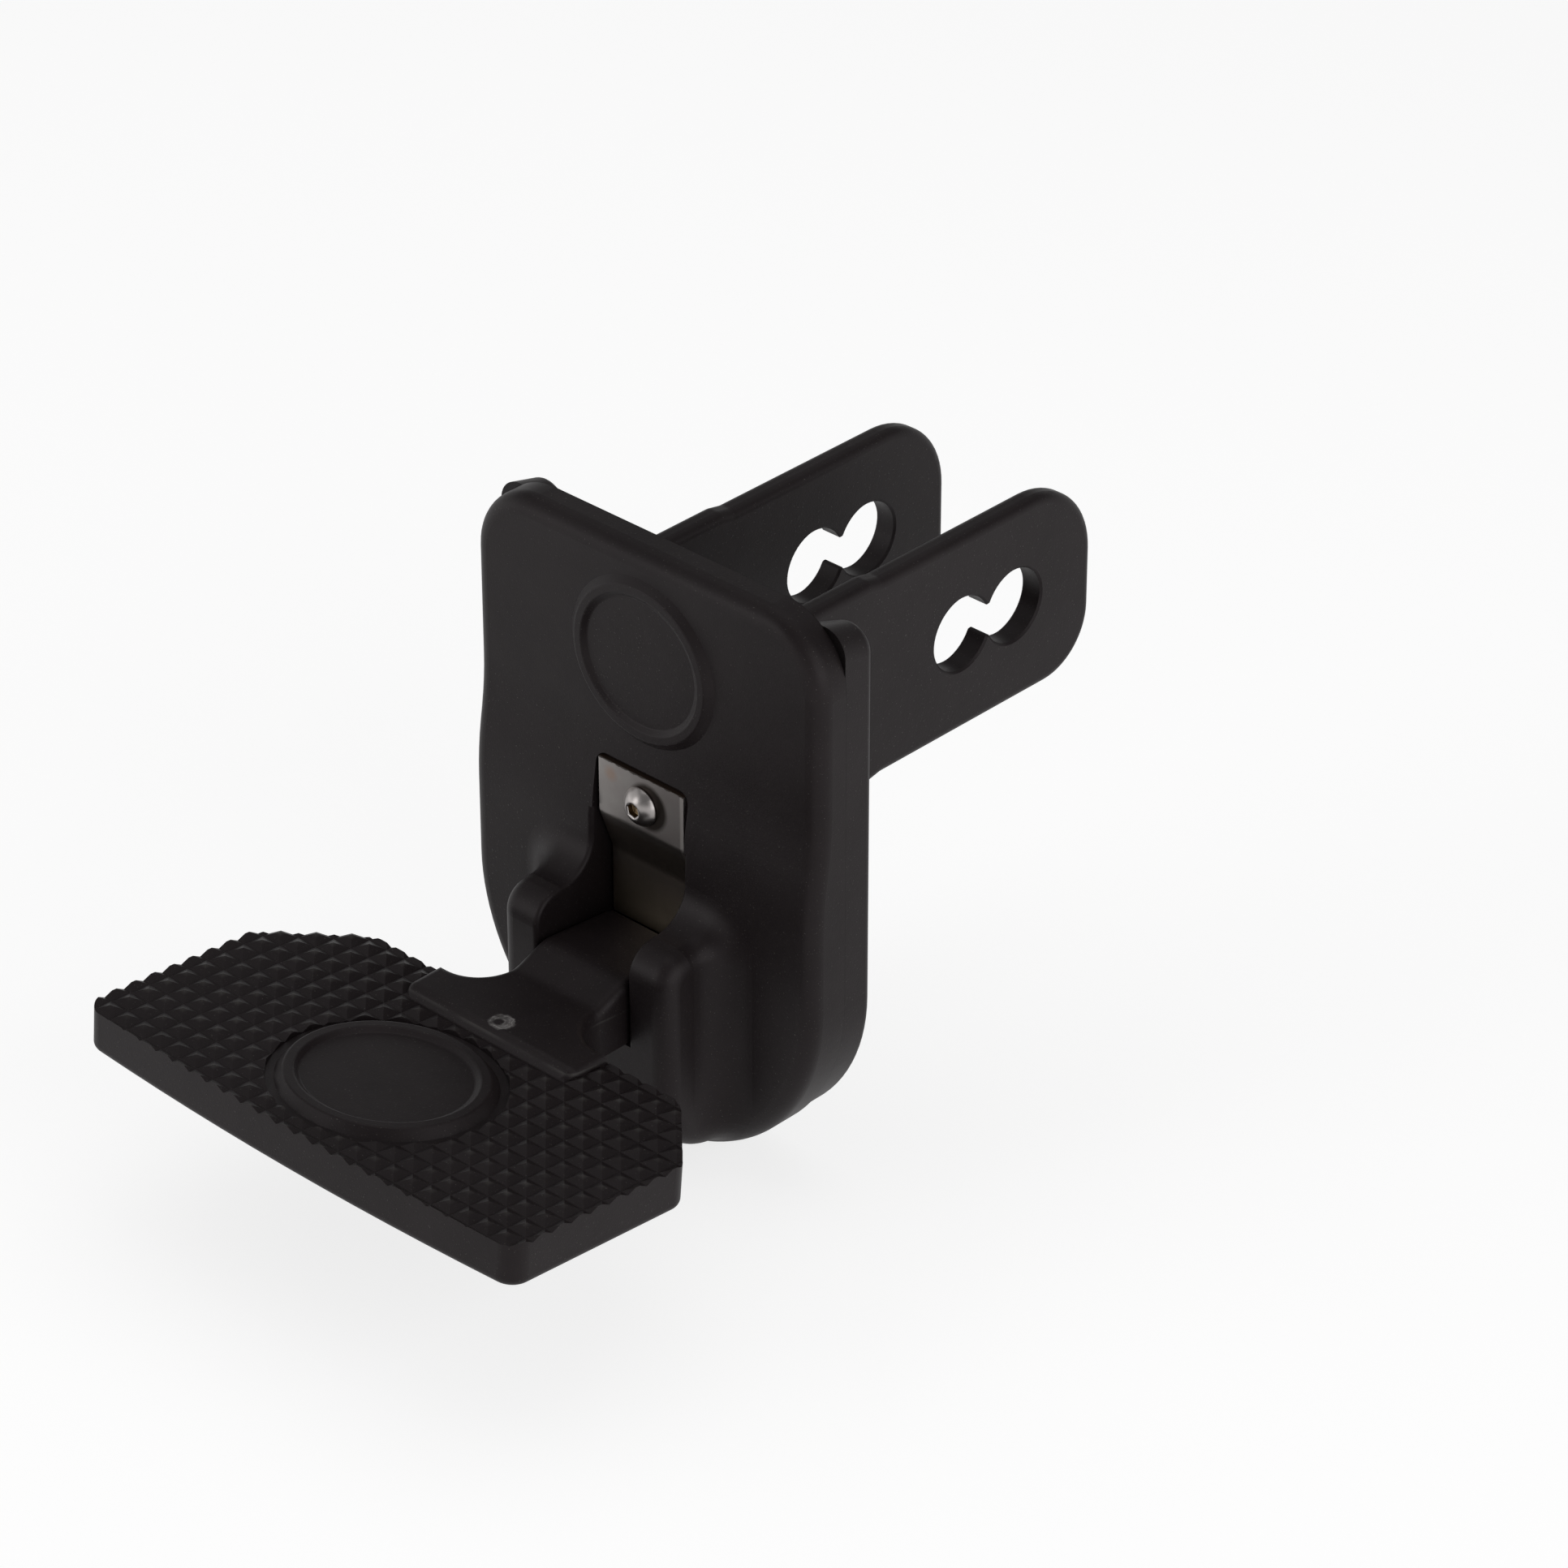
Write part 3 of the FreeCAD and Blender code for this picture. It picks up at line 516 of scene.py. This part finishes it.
def turned_screw(name):
    """The screw as a profile carried round its axis, from the shank's end to the socket's floor.

    A profile point is a distance from the axis, a height above the seat, and 1 where the distance is
    taken times the hexagon's factor. It is carried to x = distance * cos and z = distance * sin of each
    ray's angle, and y = seat - height. The rays stand 5 or 6 degrees apart, and 1 beside a corner.
    """
    flat = across_flats / 2
    below = head_height - socket_depth
    shank = [
        (0.0, -shank_length, 0), (shank_radius, -shank_length, 0), (shank_radius, -shank_length / 2, 0),
        (shank_radius, 0.0, 0), (head_radius - bead, 0.0, 0), (head_radius, bead, 0),
    ]
    crown = np.stack([*dome(dome_rings), np.zeros(dome_rings)], 1)
    socket = [
        (mouth_radius - bead, head_height, 0), (flat + bead, head_height - bead, 1),
        (flat, head_height - 2 * bead, 1), (flat, head_height - 4 * bead, 1), (flat, below + bead, 1),
        (flat, below, 1), (flat - bead, below, 1), (flat / 2, below - 2 * bead, 0),
        (0.0, below - 4 * bead, 0),
    ]
    profile = np.concatenate([shank, crown, socket])
    side_rays = np.radians([-30, -29, *range(-24, 25, 6), 29])
    angle = (np.radians(60) * np.arange(6)[:, None] + side_rays + socket_turn).ravel()
    reach = 1 + profile[1:-1, 2, None] * (hexagon(angle - socket_turn) - 1)
    ring = profile[1:-1, 0, None] * reach
    x = screw_axis[0] + ring * np.cos(angle)
    y = head_seat - np.broadcast_to(profile[1:-1, 1, None], ring.shape)
    z = screw_axis[1] + ring * np.sin(angle)
    ends = [(screw_axis[0], head_seat - profile[k, 1], screw_axis[1]) for k in (0, -1)]
    points = np.concatenate([np.stack([x, y, z], -1).reshape(-1, 3), ends])
    rows, columns = ring.shape
    here = np.arange(rows * columns).reshape(rows, columns)
    after = np.roll(here, -1, 1)
    quads = np.stack([here[:-1], after[:-1], after[1:], here[1:]], -1).reshape(-1, 4)
    bottom = np.stack([np.full(columns, rows * columns), after[0], here[0]], -1)
    top = np.stack([np.full(columns, rows * columns + 1), here[-1], after[-1]], -1)
    mesh = bpy.data.meshes.new(name)
    mesh.from_pydata(points.tolist(), [], quads.tolist() + bottom.tolist() + top.tolist())
    mesh.polygons.foreach_set("use_smooth", np.ones(len(mesh.polygons), bool))
    mesh.update()
    turned = bpy.data.objects.new(name, mesh)
    bpy.context.scene.collection.objects.link(turned)
    return turned


screw = turned_screw("button_head_screw")
stainless, tree, output = new_material("cold formed stainless steel")
place = add(tree, "ShaderNodeTexCoord").outputs["Object"]
centred = add(
    tree, "ShaderNodeVectorMath", {0: place, 1: (screw_axis[0], 0.0, screw_axis[1])},
    operation="SUBTRACT",
)
flattened = add(
    tree, "ShaderNodeVectorMath", {0: centred.outputs["Vector"], 1: (1.0, 0.0, 1.0)},
    operation="MULTIPLY",
)
off_axis = add(tree, "ShaderNodeVectorMath", {0: flattened.outputs["Vector"]}, operation="LENGTH")
depth = add(tree, "ShaderNodeSeparateXYZ", {"Vector": place})
# Painted shade: below the mouth the socket turns darker and a little brown.
sunk = add(
    tree, "ShaderNodeMapRange",
    {"Value": depth.outputs["Y"], "From Min": head_seat - head_height + shadow_start,
     "From Max": head_seat - head_height + shadow_full},
)
in_mouth = add(
    tree, "ShaderNodeMath", {0: off_axis.outputs["Value"], 1: mouth_radius}, operation="LESS_THAN",
)
inside = add(
    tree, "ShaderNodeMath", {0: sunk.outputs["Result"], 1: in_mouth.outputs["Value"]},
    operation="MULTIPLY",
)
tone = add(
    tree, "ShaderNodeMix", {"Factor": inside.outputs["Value"], "A": bright_steel, "B": socket_brown_and_shade},
    data_type="RGBA",
)
handled = add(
    tree, "ShaderNodeTexNoise", {"Vector": place, "Scale": 1 / handling_width, "Detail": 2.0},
)
polish = add(
    tree, "ShaderNodeMapRange", {"Value": handled.outputs["Fac"], "To Min": 0.27, "To Max": 0.33},
)
shader = add(
    tree, "ShaderNodeBsdfPrincipled",
    {"Base Color": tone.outputs["Result"], "Metallic": 1.0, "Roughness": polish.outputs["Result"]},
)
tree.links.new(shader.outputs["BSDF"], output.inputs["Surface"])
screw.data.materials.append(stainless)
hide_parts("spring_screw")
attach(screw, "bracket")


# Hinge pin. A length of bright drawn steel rod, pressed in through the left cheek.
# Its end shows a sawn and chamfered face, grey and unevenly dulled by handling.

dulling_width = 0.001
drawn_grey = linear("#a9a6a2")

drawn_steel, tree, output = new_material("bright drawn steel rod")
place = add(tree, "ShaderNodeTexCoord").outputs["Object"]
dull = add(tree, "ShaderNodeTexNoise", {"Vector": place, "Scale": 1 / dulling_width, "Detail": 3.0})
matt = add(tree, "ShaderNodeMapRange", {"Value": dull.outputs["Fac"], "To Min": 0.3, "To Max": 0.5})
shader = add(
    tree, "ShaderNodeBsdfPrincipled",
    {"Base Color": drawn_grey, "Metallic": 1.0, "Roughness": matt.outputs["Result"]},
)
tree.links.new(shader.outputs["BSDF"], output.inputs["Surface"])
dress("hinge_pin", drawn_steel)


# Studio: a sheet of white paper under the plate's foot, white walls, four soft boxes and the
# photograph's point of view. The sheet is seen from above only, so that the underside of the object
# can be looked at through it.

floor_gap = 0.0005
floor_reach = 6.0
paper_white = 0.8
camera_paper = 0.45
paper_glow = 0.43
camera_glow = 0.75
wall_light = 0.18
wall_top = 0.34
wall_top_light = 0.22
lamp_distance = 1.5
lamp_target = (0.0, -0.03, -0.03)
white = linear("#ffffff")


def looked_at(tree):
    """The kinds of ray, and 1 for rays that show a surface: the camera's, mirrored ones and those
    through glass. The others only carry its light to the object."""
    rays = add(tree, "ShaderNodeLightPath")
    shown = add(
        tree, "ShaderNodeMath", {0: rays.outputs["Is Camera Ray"], 1: rays.outputs["Is Glossy Ray"]},
        operation="MAXIMUM",
    )
    shown = add(
        tree, "ShaderNodeMath", {0: shown.outputs["Value"], 1: rays.outputs["Is Transmission Ray"]},
        operation="MAXIMUM",
    )
    return rays, shown.outputs["Value"]


floor_level = float(cad_box[0].z) - floor_gap
side = np.array([-floor_reach, floor_reach])
corners = np.stack(np.meshgrid(side, side), -1).reshape(-1, 2)
floor_mesh = bpy.data.meshes.new("floor")
floor_mesh.from_pydata([(x, y, floor_level) for x, y in corners.tolist()], [], [(0, 1, 3, 2)])
floor = bpy.data.objects.new("floor", floor_mesh)
bpy.context.scene.collection.objects.link(floor)

# Plain paper for the light that it throws back. What shows of it glows as well, so that it stays white
# round the object with only a soft shadow.
paper, tree, output = new_material("white paper floor")
rays, shown = looked_at(tree)
lit = add(tree, "ShaderNodeBsdfDiffuse", {"Color": (paper_white, paper_white, paper_white, 1.0)})
shade = add(
    tree, "ShaderNodeMapRange",
    {"Value": rays.outputs["Is Camera Ray"], "To Min": paper_white, "To Max": camera_paper},
)
faint = add(tree, "ShaderNodeBsdfDiffuse", {"Color": shade.outputs["Result"]})
paleness = add(
    tree, "ShaderNodeMapRange",
    {"Value": rays.outputs["Is Camera Ray"], "To Min": paper_glow, "To Max": camera_glow},
)
glow = add(tree, "ShaderNodeEmission", {"Color": white, "Strength": paleness.outputs["Result"]})
glowing = add(tree, "ShaderNodeAddShader", {0: faint.outputs["BSDF"], 1: glow.outputs["Emission"]})
sheet = add(
    tree, "ShaderNodeMixShader", {0: shown, 1: lit.outputs["BSDF"], 2: glowing.outputs["Shader"]},
)
below = add(tree, "ShaderNodeNewGeometry").outputs["Backfacing"]
through = add(tree, "ShaderNodeBsdfTransparent")
surface = add(
    tree, "ShaderNodeMixShader", {0: below, 1: sheet.outputs["Shader"], 2: through.outputs["BSDF"]},
)
tree.links.new(surface.outputs["Shader"], output.inputs["Surface"])
floor_mesh.materials.append(paper)

# White walls: what shows of them in the object is bright at the floor and darker towards the top.
# They are pure white to the camera.
world = bpy.data.worlds.new("studio")
bpy.context.scene.world = world
world.use_nodes = True
tree = world.node_tree
tree.nodes.clear()
rays, shown = looked_at(tree)
rise = add(
    tree, "ShaderNodeSeparateXYZ", {"Vector": add(tree, "ShaderNodeTexCoord").outputs["Generated"]},
)
sweep = add(
    tree, "ShaderNodeMapRange",
    {"Value": rise.outputs["Z"], "From Max": wall_top, "To Min": 1.0, "To Max": wall_top_light},
)
wall = add(
    tree, "ShaderNodeMath", {0: rays.outputs["Is Camera Ray"], 1: sweep.outputs["Result"]},
    operation="MAXIMUM",
)
room = add(tree, "ShaderNodeBackground", {"Color": white, "Strength": wall_light})
backdrop = add(tree, "ShaderNodeBackground", {"Color": white, "Strength": wall.outputs["Value"]})
both = add(
    tree, "ShaderNodeMixShader",
    {0: shown, 1: room.outputs["Background"], 2: backdrop.outputs["Background"]},
)
add(tree, "ShaderNodeOutputWorld", {"Surface": both.outputs["Shader"]})


def standing(back, target, distance, aside=0.0, raised=0.0):
    """The place and turn of a lamp or camera that looks against the vector back and keeps level.

    Its right is the cross product of the frame's up and back, and its own up that of back and right.
    It stands at target + back * distance + right * aside + up * raised.
    """
    back = np.array(back) / np.linalg.norm(back)
    right = np.cross((0.0, 0.0, 1.0), back)
    right /= np.linalg.norm(right)
    up = np.cross(back, right)
    turned = np.eye(4)
    turned[:3, :3] = np.stack([right, up, back], 1)
    turned[:3, 3] = target + back * distance + right * aside + up * raised
    return Matrix(turned.tolist())


def soft_box(name, direction, size, share):
    """A square area lamp aimed at the object. Its power is share * pi^2 * distance^2 watts,
    at which a surface that faces it squarely renders its own colour times share."""
    lamp = bpy.data.lights.new(name, "AREA")
    lamp.size = size
    lamp.energy = share * np.pi ** 2 * lamp_distance ** 2
    holder = bpy.data.objects.new(name, lamp)
    holder.matrix_world = standing(direction, lamp_target, lamp_distance)
    bpy.context.scene.collection.objects.link(holder)


soft_box("front left soft box", (-0.7, -0.6, 0.35), size=1.6, share=0.18)
soft_box("front soft box", (-0.363, -0.856, 0.367), size=0.6, share=0.1)
soft_box("right soft box", (0.95, -0.05, 0.25), size=1.6, share=0.5)
soft_box("overhead soft box", (-0.1, 0.15, 1.0), size=1.6, share=0.2)

azimuth = np.radians(43.34)
elevation = np.radians(31.537)
toward_camera = (
    np.sin(azimuth) * np.cos(elevation), -np.cos(azimuth) * np.cos(elevation), np.sin(elevation))
camera_data = bpy.data.cameras.new("photo view")
camera_data.sensor_width = 36.0
camera_data.lens = 142.26
camera_data.clip_start = 0.05
camera_data.clip_end = 30.0
camera = bpy.data.objects.new("photo view", camera_data)
camera.matrix_world = standing(
    toward_camera, (0.0, 0.0, 0.0), distance=1.362, aside=0.018579, raised=-0.020336)
bpy.context.scene.collection.objects.link(camera)
bpy.context.scene.camera = camera
bpy.context.scene.view_settings.view_transform = "Standard"
